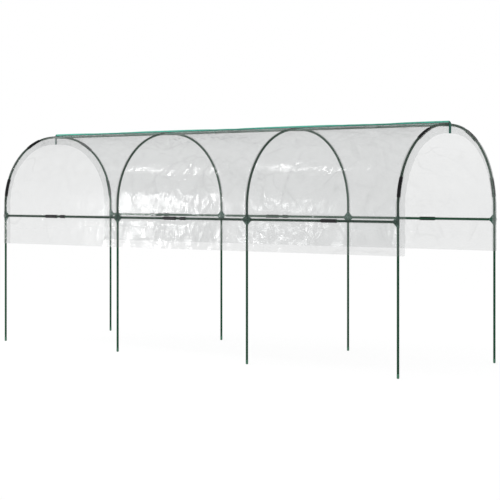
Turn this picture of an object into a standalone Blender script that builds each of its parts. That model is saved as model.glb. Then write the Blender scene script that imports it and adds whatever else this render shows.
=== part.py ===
"""Tomato greenhouse: a tunnel of tube hoops under a clear film cover that is open at both ends.

X runs along the tunnel, -Y is the front, +Z is up. The origin is on the ground under the middle
of the tunnel. Every length is in metres and every angle in degrees.
"""
import math

import bmesh
import bpy
from mathutils import Matrix, Vector

# Frame of tubes
HOOP_COUNT = 4
HOOP_SPACING = 1.300
LEG_SPREAD = 1.196
TUBE_RADIUS = 0.008
RAIL_HEIGHT = 1.026
SPRING_ABOVE_RAIL = 0.095
ARCH_FACETS = 13
TUBE_SIDES = 12

# Moulded fittings that join the tubes
FIT_GAP = 0.0003
FITTING_ARM = 0.038
SLEEVE_WALL = 0.0019
SOCKET_DEPTH = 0.028
WEB_THICKNESS = 0.004
WEB_TIP_WIDTH = 0.018

# Foot caps pressed over the ends of the legs
CAP_HEIGHT = 0.034
CAP_WALL = 0.0012
CAP_SOLE_RADIUS = 0.004
CAP_TIP_HEIGHT = 0.008
CAP_TIP_STEPS = 4

# Film cover
FILM_THICKNESS = 0.0005
FILM_OVERHANG = 0.0195
LIP_WIDTH = 0.070
HINGE_BELOW_RAIL = 0.020
SKIRT_LENGTH = 0.205
ROOF_SAG = 0.008
SAG_STEPS = 4

# Binding tape over the seam along the ridge
SEAM_FORWARD = 0.021
BINDING_DEPTH = 0.016
BINDING_WALL = 0.0008
BINDING_CORNER_STEPS = 6

# Snap clips that hold the film to the tubes
CLIP_PROUD = 0.0002
CLIP_WRAP = 240.0
CLIP_SIDES = 8
CLIP_FACETS = 2
LOWER_CLIP_FACET = 1
UPPER_CLIP_FACET = 8
LONG_CLIP = 0.126
SHORT_CLIP = 0.048
LONG_CLIP_SHIFTS = (-0.099, -0.104, 0.080)
SHORT_CLIP_SHIFTS = (0.030, 0.028)

# Values that follow from the ones above
HALF_SPREAD = LEG_SPREAD / 2
TOP_HALF = FITTING_ARM
ARCH_RADIUS = HALF_SPREAD - TOP_HALF
SPRING_HEIGHT = RAIL_HEIGHT + SPRING_ABOVE_RAIL
RIDGE_HEIGHT = SPRING_HEIGHT + ARCH_RADIUS
HOOP_X = [(i - (HOOP_COUNT - 1) / 2) * HOOP_SPACING for i in range(HOOP_COUNT)]
SOCKET_RADIUS = TUBE_RADIUS + FIT_GAP
SLEEVE_RADIUS = SOCKET_RADIUS + SLEEVE_WALL
SOCKET_FLOOR = FITTING_ARM - SOCKET_DEPTH
TUBE_STOP = SOCKET_FLOOR + FIT_GAP
CAP_RADIUS = TUBE_RADIUS + CAP_WALL
FILM_OFFSET = SLEEVE_RADIUS + FIT_GAP
FILM_OUTER = FILM_OFFSET + FILM_THICKNESS
FILM_END = HOOP_X[-1] + FILM_OVERHANG
HINGE_HEIGHT = RAIL_HEIGHT - HINGE_BELOW_RAIL
FILM_BOTTOM = HINGE_HEIGHT - SKIRT_LENGTH
CLIP_OUTER = FILM_OUTER + CLIP_PROUD
SLOT_HALF_WIDTH = CLIP_OUTER + FIT_GAP
SLOT_REACH = 0.006
CHANNEL_DEPTH = BINDING_DEPTH - BINDING_WALL
SEAM_UPTURN = (CHANNEL_DEPTH - FIT_GAP) / math.sqrt(2)
CHANNEL_WIDTH = 2 * FILM_THICKNESS + 3 * FIT_GAP
FRONT = -1
BACK = 1
SIDE_NAMES = {FRONT: "front", BACK: "back"}


def clear_scene():
    for item in list(bpy.data.objects):
        bpy.data.objects.remove(item, do_unlink=True)


def new_collection(name):
    group = bpy.data.collections.new(name)
    bpy.context.scene.collection.children.link(group)
    return group


def new_material(name, color, roughness, metallic=0.0, alpha=1.0):
    material = bpy.data.materials.new(name)
    material.use_nodes = True
    shader = material.node_tree.nodes["Principled BSDF"]
    shader.inputs["Base Color"].default_value = (*color, 1.0)
    shader.inputs["Roughness"].default_value = roughness
    shader.inputs["Metallic"].default_value = metallic
    shader.inputs["Alpha"].default_value = alpha
    return material


def place(name, data, material, location=(0.0, 0.0, 0.0), turn=(0.0, 0.0, 0.0)):
    """Put a named part in the scene. The turn is given in degrees about X, Y and Z."""
    part = bpy.data.objects.new(name, data)
    part.location = location
    part.rotation_euler = [math.radians(angle) for angle in turn]
    parts.objects.link(part)
    if not data.materials:
        data.materials.append(material)
    return part


def guide(name, data):
    """Put a shape that only cuts or joins others in the cutters' collection."""
    shape = bpy.data.objects.new(name, data)
    shape.hide_render = True
    shape.display_type = "WIRE"
    cutters.objects.link(shape)
    return shape


def mesh_from(bm, name):
    """Turn a finished bmesh into a mesh whose round surfaces are shaded smooth."""
    bmesh.ops.recalc_face_normals(bm, faces=bm.faces)
    mesh = bpy.data.meshes.new(name)
    bm.to_mesh(mesh)
    bm.free()
    mesh.shade_smooth()
    mesh.set_sharp_from_angle(angle=math.radians(40.0))
    return mesh


def evaluated_mesh(shape, name):
    """Copy an object's mesh as its modifiers leave it, welded, and remove the object."""
    graph = bpy.context.evaluated_depsgraph_get()
    mesh = bpy.data.meshes.new_from_object(shape.evaluated_get(graph), depsgraph=graph)
    mesh.transform(shape.matrix_world)
    bm = bmesh.new()
    bm.from_mesh(mesh)
    bmesh.ops.remove_doubles(bm, verts=bm.verts, dist=0.00001)
    bpy.data.meshes.remove(mesh)
    bpy.data.objects.remove(shape, do_unlink=True)
    return mesh_from(bm, name)


def add_boolean(shape, cutter, operation):
    modifier = shape.modifiers.new(cutter.name, "BOOLEAN")
    modifier.operation = operation
    modifier.solver = "EXACT"
    modifier.object = cutter


# Tubes


def tube_curve(name, points):
    """A round tube along straight runs between the given points."""
    curve = bpy.data.curves.new(name, "CURVE")
    curve.dimensions = "3D"
    curve.bevel_depth = TUBE_RADIUS
    curve.bevel_resolution = TUBE_SIDES // 2 - 2
    curve.use_fill_caps = True
    spline = curve.splines.new("POLY")
    spline.points.add(len(points) - 1)
    for spot, point in zip(spline.points, points):
        spot.co = (*point, 1.0)
    return curve


def arch_angle(facet):
    """Angle round the arch, in radians, of a facet corner counted from the spring."""
    return math.radians(90.0 * facet / ARCH_FACETS)


def arch_points():
    """Centreline of an arch tube, from its side fitting up to the ridge, round the arch's centre."""
    points = [(0.0, -ARCH_RADIUS, RAIL_HEIGHT + TUBE_STOP - SPRING_HEIGHT)]
    for facet in range(ARCH_FACETS + 1):
        angle = arch_angle(facet)
        points.append((0.0, -ARCH_RADIUS * math.cos(angle), ARCH_RADIUS * math.sin(angle)))
    points.append((0.0, TOP_HALF - TUBE_STOP, ARCH_RADIUS))
    return points


def leg_mesh():
    """A leg with its foot cap, turned about Z: tube, cap's rim and wall, and a blunt tip with a flat sole."""
    top = RAIL_HEIGHT - TUBE_STOP
    profile = [(0.0, top), (TUBE_RADIUS, top), (TUBE_RADIUS, CAP_HEIGHT), (CAP_RADIUS, CAP_HEIGHT)]
    for step in range(CAP_TIP_STEPS + 1):
        angle = math.radians(90.0 * step / CAP_TIP_STEPS)
        radius = CAP_SOLE_RADIUS + (CAP_RADIUS - CAP_SOLE_RADIUS) * math.cos(angle)
        profile.append((radius, CAP_TIP_HEIGHT * (1.0 - math.sin(angle))))
    profile.append((0.0, 0.0))
    mesh = bpy.data.meshes.new("leg_profile")
    mesh.from_pydata([(x, 0.0, z) for x, z in profile], [(i, i + 1) for i in range(len(profile) - 1)], [])
    leg = guide("leg_turning", mesh)
    screw = leg.modifiers.new("turn", "SCREW")
    screw.steps = TUBE_SIDES
    screw.render_steps = TUBE_SIDES
    screw.use_merge_vertices = True
    screw.merge_threshold = 0.00001
    return evaluated_mesh(leg, "leg")


def make_tubes():
    leg = leg_mesh()
    arch = tube_curve("arch", arch_points())
    for side, side_name in SIDE_NAMES.items():
        turn = (0.0, 0.0, 0.0) if side == FRONT else (0.0, 0.0, 180.0)
        for number, x in enumerate(HOOP_X, start=1):
            place(f"leg_{side_name}_{number}", leg, coated_steel, (x, side * HALF_SPREAD, 0.0))
            centre = (x, side * TOP_HALF, SPRING_HEIGHT)
            place(f"arch_{side_name}_{number}", arch, coated_steel, centre, turn)
    rail = tube_curve("rail", [(0.0, 0.0, 0.0), (HOOP_SPACING - 2 * TUBE_STOP, 0.0, 0.0)])
    for number, x in enumerate(HOOP_X[:-1], start=1):
        for side, side_name in SIDE_NAMES.items():
            start = (x + TUBE_STOP, side * HALF_SPREAD, RAIL_HEIGHT)
            place(f"rail_{side_name}_{number}", rail, coated_steel, start)
        place(f"ridge_rail_{number}", rail, coated_steel, (x + TUBE_STOP, 0.0, RIDGE_HEIGHT))


# Moulded fittings


def arm_cylinder(name, direction, radius, start, end):
    """A cylinder along a direction of the fitting, between two distances from its centre."""
    bm = bmesh.new()
    bmesh.ops.create_cone(bm, cap_ends=True, segments=TUBE_SIDES, radius1=radius, radius2=radius,
                          depth=end - start)
    turn = Vector((0.0, 0.0, 1.0)).rotation_difference(Vector(direction)).to_matrix().to_4x4()
    middle = Matrix.Translation(Vector(direction) * (start + end) / 2)
    bmesh.ops.transform(bm, matrix=middle @ turn, verts=bm.verts)
    return guide(name, mesh_from(bm, name))


def web_plate(name, left_reach):
    """The flat web between the arms: a diamond whose left corner reaches the given distance."""
    reach = FITTING_ARM - FIT_GAP
    tip = WEB_TIP_WIDTH / 2
    outline = [(reach, tip), (tip, reach), (-tip, reach)]
    if left_reach > 0.0:
        outline += [(-left_reach, tip), (-left_reach, -tip)]
    outline += [(-tip, -reach), (tip, -reach), (reach, -tip)]
    curve = bpy.data.curves.new(name, "CURVE")
    curve.dimensions = "2D"
    curve.fill_mode = "BOTH"
    curve.extrude = WEB_THICKNESS / 2
    spline = curve.splines.new("POLY")
    spline.points.add(len(outline) - 1)
    for spot, (across, up) in zip(spline.points, outline):
        spot.co = (across, up, 0.0, 1.0)
    spline.use_cyclic_u = True
    plate = bpy.data.objects.new(name, curve)
    plate.rotation_euler = (math.radians(90.0), 0.0, 0.0)
    cutters.objects.link(plate)
    bpy.context.view_layer.update()
    return guide(name, evaluated_mesh(plate, name))


def fitting_mesh(name, four_way):
    """Sleeves for the tubes along Z and X with a web between them; the tee has no arm at -X."""
    body = arm_cylinder(name, (0.0, 0.0, 1.0), SLEEVE_RADIUS, -FITTING_ARM, FITTING_ARM)
    cross_start = -FITTING_ARM if four_way else 0.0
    cross_arm = arm_cylinder("cross_arm", (1.0, 0.0, 0.0), SLEEVE_RADIUS, cross_start, FITTING_ARM)
    web = web_plate("web", FITTING_ARM - FIT_GAP if four_way else 0.0)
    helpers = [cross_arm, web]
    add_boolean(body, cross_arm, "UNION")
    add_boolean(body, web, "UNION")
    directions = [(0.0, 0.0, 1.0), (0.0, 0.0, -1.0), (1.0, 0.0, 0.0)]
    if four_way:
        directions.append((-1.0, 0.0, 0.0))
    for direction in directions:
        socket = arm_cylinder("socket", direction, SOCKET_RADIUS, SOCKET_FLOOR, 2 * FITTING_ARM)
        add_boolean(body, socket, "DIFFERENCE")
        helpers.append(socket)
    mesh = evaluated_mesh(body, name)
    for helper in helpers:
        bpy.data.objects.remove(helper, do_unlink=True)
    return mesh


def make_fittings():
    cross = fitting_mesh("cross_fitting", True)
    tee = fitting_mesh("tee_fitting", False)
    for number, x in enumerate(HOOP_X, start=1):
        is_end = number in (1, HOOP_COUNT)
        shape = tee if is_end else cross
        spin = 180.0 if number == HOOP_COUNT else 0.0
        for side, side_name in SIDE_NAMES.items():
            spot = (x, side * HALF_SPREAD, RAIL_HEIGHT)
            place(f"side_fitting_{side_name}_{number}", shape, fitting_plastic, spot, (0.0, 0.0, spin))
        place(f"ridge_fitting_{number}", shape, fitting_plastic, (x, 0.0, RIDGE_HEIGHT), (90.0, 0.0, spin))


# Snap clips, and the slots that they need in the film


def clip_profile():
    """C-shaped section as (across, outward) pairs from the tube's axis, open towards the inside."""
    start = -CLIP_WRAP / 2
    angles = [math.radians(start + CLIP_WRAP * step / CLIP_SIDES) for step in range(CLIP_SIDES + 1)]
    outer = [(CLIP_OUTER * math.sin(angle), CLIP_OUTER * math.cos(angle)) for angle in angles]
    inner = [(SOCKET_RADIUS * math.sin(angle), SOCKET_RADIUS * math.cos(angle)) for angle in angles]
    return outer + inner[::-1]


def slot_profile():
    """Section of the slot in the film that a clip fills, deep enough to pass the film's bend."""
    low = FILM_OFFSET - SLOT_REACH
    high = FILM_OUTER + SLOT_REACH
    return [(-SLOT_HALF_WIDTH, low), (SLOT_HALF_WIDTH, low), (SLOT_HALF_WIDTH, high), (-SLOT_HALF_WIDTH, high)]


def straight_form(name, profile, length):
    """A section extruded along X for a front rail, centred on the rail's axis."""
    bm = bmesh.new()
    points = [(-length / 2, -out, across) for across, out in profile]
    face = bm.faces.new([bm.verts.new(point) for point in points])
    grown = bmesh.ops.extrude_face_region(bm, geom=[face])
    moved = [item for item in grown["geom"] if isinstance(item, bmesh.types.BMVert)]
    bmesh.ops.translate(bm, verts=moved, vec=(length, 0.0, 0.0))
    return mesh_from(bm, name)


def bent_form(name, profile, steps, end_gap):
    """A section spun about the arch's centre over a clip's length, from the spring of a front arch."""
    extra = end_gap / ARCH_RADIUS
    points = []
    for across, out in profile:
        reach = ARCH_RADIUS + out
        points.append((across, -reach * math.cos(extra), -reach * math.sin(extra)))
    bm = bmesh.new()
    face = bm.faces.new([bm.verts.new(point) for point in points])
    bmesh.ops.spin(bm, geom=[face], cent=(0.0, 0.0, 0.0), axis=(-1.0, 0.0, 0.0),
                   angle=arch_angle(CLIP_FACETS) + 2 * extra, steps=steps, use_duplicate=False)
    return mesh_from(bm, name)


def hoop_clip_places(side):
    """Name, place and turn of the clips on the two end hoops: a lower and an upper one on each arch."""
    places = []
    for number in (1, HOOP_COUNT):
        for level, facet in (("lower", LOWER_CLIP_FACET), ("upper", UPPER_CLIP_FACET)):
            name = f"hoop_clip_{SIDE_NAMES[side]}_{number}_{level}"
            centre = (HOOP_X[number - 1], side * TOP_HALF, SPRING_HEIGHT)
            spin = 0.0 if side == FRONT else 180.0
            places.append((name, centre, (-math.degrees(arch_angle(facet)), 0.0, spin)))
    return places


def rail_clip_places(side, kind, shifts):
    """Name, place and turn of the clips of one length on a side rail, shifted off their span's middle."""
    places = []
    for number, shift in enumerate(shifts, start=1):
        name = f"{kind}_rail_clip_{SIDE_NAMES[side]}_{number}"
        middle = HOOP_X[number - 1] + HOOP_SPACING / 2 + shift
        spin = 0.0 if side == FRONT else 180.0
        places.append((name, (middle, side * HALF_SPREAD, RAIL_HEIGHT), (0.0, 0.0, spin)))
    return places


def make_clips():
    profile = clip_profile()
    bent = bent_form("hoop_clip", profile, CLIP_FACETS, 0.0)
    long_form = straight_form("long_rail_clip", profile, LONG_CLIP)
    short_form = straight_form("short_rail_clip", profile, SHORT_CLIP)
    for side in SIDE_NAMES:
        for name, spot, turn in hoop_clip_places(side):
            place(name, bent, clip_plastic, spot, turn)
        for name, spot, turn in rail_clip_places(side, "long", LONG_CLIP_SHIFTS):
            place(name, long_form, clip_plastic, spot, turn)
        for name, spot, turn in rail_clip_places(side, "short", SHORT_CLIP_SHIFTS):
            place(name, short_form, clip_plastic, spot, turn)


def clip_slots(side):
    """Cutters for the slots of one side, each as a placed guide."""
    profile = slot_profile()
    bent = bent_form("hoop_clip_slot", profile, 1, FIT_GAP)
    long_form = straight_form("long_clip_slot", profile, LONG_CLIP + 2 * FIT_GAP)
    short_form = straight_form("short_clip_slot", profile, SHORT_CLIP + 2 * FIT_GAP)
    placed = [(bent, *item) for item in hoop_clip_places(side)]
    placed += [(long_form, *item) for item in rail_clip_places(side, "long", LONG_CLIP_SHIFTS)]
    placed += [(short_form, *item) for item in rail_clip_places(side, "short", SHORT_CLIP_SHIFTS)]
    slots = []
    for form, name, spot, turn in placed:
        slot = guide(f"slot_for_{name}", form)
        slot.location = spot
        slot.rotation_euler = [math.radians(angle) for angle in turn]
        slots.append(slot)
    return slots


# Film cover


def wall_row(side, height):
    """A row of the film where it hangs straight: point in Y and Z, inward direction, and share of the sag."""
    return (side * (HALF_SPREAD + FILM_OFFSET), height), (-side, 0.0), 0.0


def roof_rows(side):
    """Rows from the lower edge of a roof half, round the arch and along the flat top to the seam."""
    rows = [wall_row(side, HINGE_HEIGHT + FIT_GAP / 2)]
    reach = ARCH_RADIUS + FILM_OFFSET
    for facet in range(ARCH_FACETS + 1):
        angle = arch_angle(facet)
        inward = (-side * math.cos(angle), -math.sin(angle))
        point = (side * TOP_HALF - inward[0] * reach, SPRING_HEIGHT - inward[1] * reach)
        rows.append((point, inward, math.sin(2 * angle)))
    seam = side * FIT_GAP / 2 - SEAM_FORWARD
    rows.append(((seam, RIDGE_HEIGHT + FILM_OFFSET), (0.0, -1.0), 0.0))
    return rows


def span_stations():
    """Places along X from the first hoop to the last, each with its share of the sag between hoops."""
    stations = []
    for step in range((HOOP_COUNT - 1) * SAG_STEPS + 1):
        through_span = step / SAG_STEPS
        stations.append((HOOP_X[0] + through_span * HOOP_SPACING, math.sin(math.pi * through_span) ** 2))
    return stations


def row_line(row, upturn=0.0):
    """A row's points across the film, from lip edge to lip edge, stood off the tubes by an upturn."""
    (y, z), (inward_y, inward_z), sag_share = row
    lip = (y + inward_y * LIP_WIDTH, z + inward_z * LIP_WIDTH)
    corner = (y - inward_y * upturn, z - inward_z * upturn)
    end = FILM_END + upturn
    line = [(-end, *lip), (-end, *corner)]
    for x, share in span_stations():
        sag = ROOF_SAG * sag_share * share - upturn
        line.append((x, y + inward_y * sag, z + inward_z * sag))
    return line + [(end, *corner), (end, *lip)]


def film_mesh(name, lines):
    """Loft an open sheet through lines of points."""
    bm = bmesh.new()
    grid = [[bm.verts.new(point) for point in line] for line in lines]
    for lower, upper in zip(grid, grid[1:]):
        for k in range(len(lower) - 1):
            bm.faces.new((lower[k], lower[k + 1], upper[k + 1], upper[k]))
    mesh = bpy.data.meshes.new(name)
    bm.to_mesh(mesh)
    bm.free()
    mesh.shade_smooth()
    mesh.set_sharp_from_angle(angle=math.radians(40.0))
    return mesh


def thicken(sheet, side):
    """Give a sheet its thickness on the outside of the inner surface that was lofted."""
    solidify = sheet.modifiers.new("film", "SOLIDIFY")
    solidify.thickness = FILM_THICKNESS
    solidify.offset = 1.0 if side == FRONT else -1.0
    solidify.solidify_mode = "NON_MANIFOLD"
    solidify.nonmanifold_thickness_mode = "CONSTRAINTS"


def make_film():
    for side, side_name in SIDE_NAMES.items():
        rows = roof_rows(side)
        lines = [row_line(row) for row in rows]
        lines.append(row_line(rows[-1], FILM_THICKNESS + SEAM_UPTURN))
        film = place(f"film_{side_name}", film_mesh("film", lines), clear_film)
        thicken(film, side)
        for slot in clip_slots(side):
            add_boolean(film, slot, "DIFFERENCE")

        hinge = (0.0, side * (HALF_SPREAD + FILM_OUTER), HINGE_HEIGHT)
        rows = [wall_row(side, FILM_BOTTOM), wall_row(side, HINGE_HEIGHT - FIT_GAP / 2)]
        lines = [[tuple(Vector(point) - Vector(hinge)) for point in row_line(row)] for row in rows]
        skirt = place(f"skirt_{side_name}", film_mesh("skirt", lines), clear_film, hinge)
        thicken(skirt, side)


# Binding tape along the ridge


def binding_outline(near, far):
    """Outline in X and Z of a band that follows the film's outer face over the ridge and both lips."""
    inner_x = FILM_END + FILM_THICKNESS
    inner_z = RIDGE_HEIGHT + FILM_OUTER
    foot = RIDGE_HEIGHT + FILM_OFFSET - LIP_WIDTH
    half = [(inner_x + near, foot), (inner_x + far, foot)]
    for step in range(BINDING_CORNER_STEPS + 1):
        angle = math.radians(90.0 * step / BINDING_CORNER_STEPS)
        half.append((inner_x + far * math.cos(angle), inner_z + far * math.sin(angle)))
    inner_corner = (inner_x + near, inner_z + near)
    left = [(-x, z) for x, z in half[::-1]]
    return half + left + [(-inner_corner[0], inner_corner[1]), inner_corner]


def band_mesh(name, outline, width):
    """A flat band of the given width across the seam, stood upright over it."""
    curve = bpy.data.curves.new(name, "CURVE")
    curve.dimensions = "2D"
    curve.fill_mode = "BOTH"
    curve.extrude = width / 2
    spline = curve.splines.new("POLY")
    spline.points.add(len(outline) - 1)
    for spot, (x, z) in zip(spline.points, outline):
        spot.co = (x, z, 0.0, 1.0)
    spline.use_cyclic_u = True
    band = bpy.data.objects.new(name, curve)
    band.rotation_euler = (math.radians(90.0), 0.0, 0.0)
    band.location = (0.0, -SEAM_FORWARD, 0.0)
    cutters.objects.link(band)
    bpy.context.view_layer.update()
    return evaluated_mesh(band, name)


def make_ridge_binding():
    """A tape folded over the two upturned film edges, hollow where they stand in it."""
    outline = binding_outline(FIT_GAP, FIT_GAP + BINDING_DEPTH)
    width = CHANNEL_WIDTH + 2 * BINDING_WALL
    binding = place("ridge_binding", band_mesh("ridge_binding", outline, width), binding_tape)
    channel = binding_outline(-FIT_GAP, FIT_GAP + CHANNEL_DEPTH)
    lowered = [(x, z - FIT_GAP if z < RIDGE_HEIGHT else z) for x, z in channel]
    cutter = guide("binding_channel", band_mesh("binding_channel", lowered, CHANNEL_WIDTH))
    add_boolean(binding, cutter, "DIFFERENCE")


clear_scene()
parts = new_collection("tomato_greenhouse")
cutters = new_collection("cutters")
coated_steel = new_material("coated_steel", (0.018, 0.052, 0.030), 0.38, 0.1)
fitting_plastic = new_material("fitting_plastic", (0.035, 0.100, 0.062), 0.45)
clip_plastic = new_material("clip_plastic", (0.012, 0.012, 0.013), 0.35)
clear_film = new_material("clear_film", (0.85, 0.87, 0.87), 0.12, 0.0, 0.3)
binding_tape = new_material("binding_tape", (0.010, 0.260, 0.170), 0.5)
make_tubes()
make_fittings()
make_clips()
make_film()
make_ridge_binding()
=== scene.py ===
"""Tomato greenhouse, dressed for its picture: steel hoops and rails, moulded fittings, snap clips,
a clear film cover that hangs free below the side rails, and the tape that binds it along the ridge.
Metres, +Z up, X along the tunnel, -Y to its front side."""

import math

import bmesh
import bpy
import numpy as np
from bpy.props import FloatProperty, FloatVectorProperty, IntProperty, PointerProperty
from bpy.types import Operator, Panel, PropertyGroup
from mathutils import Matrix, Vector, noise


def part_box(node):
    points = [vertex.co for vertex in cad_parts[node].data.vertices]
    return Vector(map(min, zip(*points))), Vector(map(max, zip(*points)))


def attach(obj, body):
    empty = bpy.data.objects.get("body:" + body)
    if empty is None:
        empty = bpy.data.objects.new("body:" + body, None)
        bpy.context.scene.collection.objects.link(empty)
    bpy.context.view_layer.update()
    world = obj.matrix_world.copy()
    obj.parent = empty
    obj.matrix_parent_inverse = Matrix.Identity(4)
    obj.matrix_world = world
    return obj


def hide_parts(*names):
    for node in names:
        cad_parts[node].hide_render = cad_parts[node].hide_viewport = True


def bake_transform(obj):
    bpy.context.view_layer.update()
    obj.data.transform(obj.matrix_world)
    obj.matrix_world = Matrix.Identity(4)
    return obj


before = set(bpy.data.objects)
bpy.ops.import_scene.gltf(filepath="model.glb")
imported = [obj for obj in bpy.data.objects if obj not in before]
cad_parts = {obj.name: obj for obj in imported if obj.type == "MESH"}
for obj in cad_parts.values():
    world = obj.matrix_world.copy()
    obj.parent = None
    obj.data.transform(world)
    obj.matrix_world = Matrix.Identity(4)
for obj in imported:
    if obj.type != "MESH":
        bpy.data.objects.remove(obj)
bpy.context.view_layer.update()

bl_info = {
    "name": "Tomato Greenhouse",
    "version": (1, 0, 0),
    "blender": (4, 5, 0),
    "location": "View3D > Sidebar > Greenhouse",
    "description": "Makes a hoop greenhouse with a clear film cover around its packed frame",
    "category": "Object",
}

SIDES = {"front": -1.0, "back": 1.0}


# Small sizes that the frame doesn't give


COAT = 0.0004  # thickness of the coat on a tube
PLAY = 0.0002  # between a tube and its socket
WEB_THICKNESS = 0.0036  # flat web of a fitting
CAP_HEIGHT = 0.034  # foot cap, from tip to rim
CLIP_GAP = 0.0012  # from a tube to the inside of a clip, with the film between
CLIP_SWELL = 0.0008  # by which a clip stands out past the frame's clip
FILM_INSET = 0.0003  # from the outside of the frame's film in to the sheet
FILM_LIFT = 0.0007  # from a tube out to the sheet that lies on it
UPTURN = 0.0105  # edge of the sheet that stands up under the tape
PRESSED = 0.0135  # half width of the film that a clip holds down
FINE_BAND = 0.045  # reach of the fine mesh on either side of a tube


# Sizes read from the frame


def middle(node):
    low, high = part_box(node)
    return (low + high) / 2


def extent(node):
    low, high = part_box(node)
    return high - low


HOOPS = range(1, 1 + sum(name.startswith("ridge_fitting_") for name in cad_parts))
HOOP_X = [middle(f"arch_front_{number}").x for number in HOOPS]
HALF_SPREAD = middle("rail_back_1").y
RAIL_Z = middle("rail_back_1").z
RIDGE_Z = middle("ridge_rail_1").z
TUBE_RADIUS = extent("rail_back_1").z / 2 + COAT
FITTING_ARM = extent("side_fitting_back_2").z / 2
SLEEVE_RADIUS = extent("side_fitting_back_2").y / 2
ARCH_RADIUS = HALF_SPREAD - FITTING_ARM
SPRING_Z = RIDGE_Z - ARCH_RADIUS
TUBE_STOP = (HOOP_X[1] - HOOP_X[0] - extent("ridge_rail_1").x) / 2
CAP_RADIUS = extent("leg_back_1").x / 2
FILM_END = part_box("skirt_back")[1].x
HEM_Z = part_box("skirt_back")[0].z
FILM_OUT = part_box("skirt_back")[1].y - HALF_SPREAD
LIP_WIDTH = extent("skirt_back").y
TAPE_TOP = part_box("ridge_binding")[1].z
TAPE_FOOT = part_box("ridge_binding")[0].z
SEAM_Y = middle("ridge_binding").y
CLIP_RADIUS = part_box("long_rail_clip_back_1")[1].y - HALF_SPREAD


# Settings


class FrameSettings(PropertyGroup):
    """Finish and fineness of the steel frame and its plastic parts."""

    sides: IntProperty(name="Tube sides", description="Flat sides round a tube", default=32, min=12)
    arch_steps: IntProperty(name="Arch steps", description="Steps round a quarter arch", default=56, min=8)
    edge: FloatProperty(
        name="Moulded edge", description="Rounding on the edges of moulded parts",
        default=0.0006, unit="LENGTH")
    clip_wrap: FloatProperty(
        name="Clip wrap", description="How far a clip reaches round its tube",
        default=math.radians(236.0), subtype="ANGLE")
    clip_lip: FloatProperty(
        name="Clip lip", description="Radius of the rolled lips along a clip",
        default=0.0017, unit="LENGTH")
    steel: FloatVectorProperty(
        name="Steel", description="Colour of the coated tubes",
        subtype="COLOR", default=(0.010, 0.058, 0.028))
    fitting: FloatVectorProperty(
        name="Fittings", description="Colour of the moulded fittings",
        subtype="COLOR", default=(0.027, 0.090, 0.060))
    cap: FloatVectorProperty(
        name="Foot caps", description="Colour of the foot caps",
        subtype="COLOR", default=(0.056, 0.160, 0.098))
    clip: FloatVectorProperty(
        name="Clips", description="Colour of the snap clips",
        subtype="COLOR", default=(0.008, 0.008, 0.009))


class CoverSettings(PropertyGroup):
    """Shape and finish of the film cover and its ridge tape."""

    step: FloatProperty(
        name="Mesh step", description="Usual distance between points of the film",
        default=0.009, unit="LENGTH")
    close_step: FloatProperty(
        name="Close step", description="Distance between points near tubes", default=0.003, unit="LENGTH")
    corner: FloatProperty(
        name="End corner", description="Radius where the film turns in over an end",
        default=0.007, unit="LENGTH")
    sag: FloatProperty(
        name="Sag", description="How far the film sinks between two hoops", default=0.009, unit="LENGTH")
    billow: FloatProperty(
        name="Billow", description="Depth of the broad waves in the film", default=0.0035, unit="LENGTH")
    drop: FloatProperty(
        name="Drop", description="Level of the film beside the tubes, out from their axes",
        default=0.0046, unit="LENGTH")
    tent: FloatProperty(
        name="Tent", description="Distance over which the film falls away from a tube",
        default=0.014, unit="LENGTH")
    crease: FloatProperty(
        name="Crease", description="Height of the sharp creases in the film", default=0.0016, unit="LENGTH")
    hem_wave: FloatProperty(
        name="Hem wave", description="Depth of the folds along the free lower edge",
        default=0.0035, unit="LENGTH")
    lip_pleat: FloatProperty(
        name="Lip pleats", description="Depth of the pleats in the turned-in lips",
        default=0.005, unit="LENGTH")
    clear: FloatVectorProperty(
        name="Clearness", description="Share of each colour that one layer passes",
        subtype="COLOR", default=(0.908, 0.913, 0.913))
    haze: FloatProperty(
        name="Haze", description="Share of light that the film scatters", default=0.17, subtype="FACTOR")
    # Painted shade: these four darken the film's colour at creases, along tubes, under clips and at the
    # seam.
    crease_shade: FloatProperty(
        name="Crease shade", description="Light lost where the film is creased",
        default=0.14, subtype="FACTOR")
    cling_shade: FloatProperty(
        name="Cling shade", description="Light lost where the film clings to a tube",
        default=0.30, subtype="FACTOR")
    clip_shade: FloatProperty(
        name="Clip shade", description="Light lost where a clip presses the film",
        default=0.85, subtype="FACTOR")
    seam_shade: FloatProperty(
        name="Seam shade", description="Light lost where the film gathers at the seam",
        default=0.86, subtype="FACTOR")
    milk: FloatVectorProperty(
        name="Milk", description="Colour of the light scattered in the film",
        subtype="COLOR", default=(0.60, 0.61, 0.61))
    tape: FloatVectorProperty(
        name="Tape", description="Colour of the ridge tape", subtype="COLOR", default=(0.056, 0.460, 0.330))
    # Painted shade for the tape's ends where they hang over the lips.
    tape_end_shade: FloatVectorProperty(
        name="Tape ends", description="Colour of the tape's ends on the lips",
        subtype="COLOR", default=(0.006, 0.100, 0.070))
    tape_lean: FloatProperty(
        name="Tape lean", description="Lean of the ridge tape half-way between hoops",
        default=math.radians(44.0), subtype="ANGLE")
    tape_open: FloatProperty(
        name="Tape end width", description="Share by which the tape opens at its ends", default=1.2)
    tape_start: FloatProperty(
        name="Tape start", description="Height of the tape's lower edge above the film",
        default=0.005, unit="LENGTH")


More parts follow.
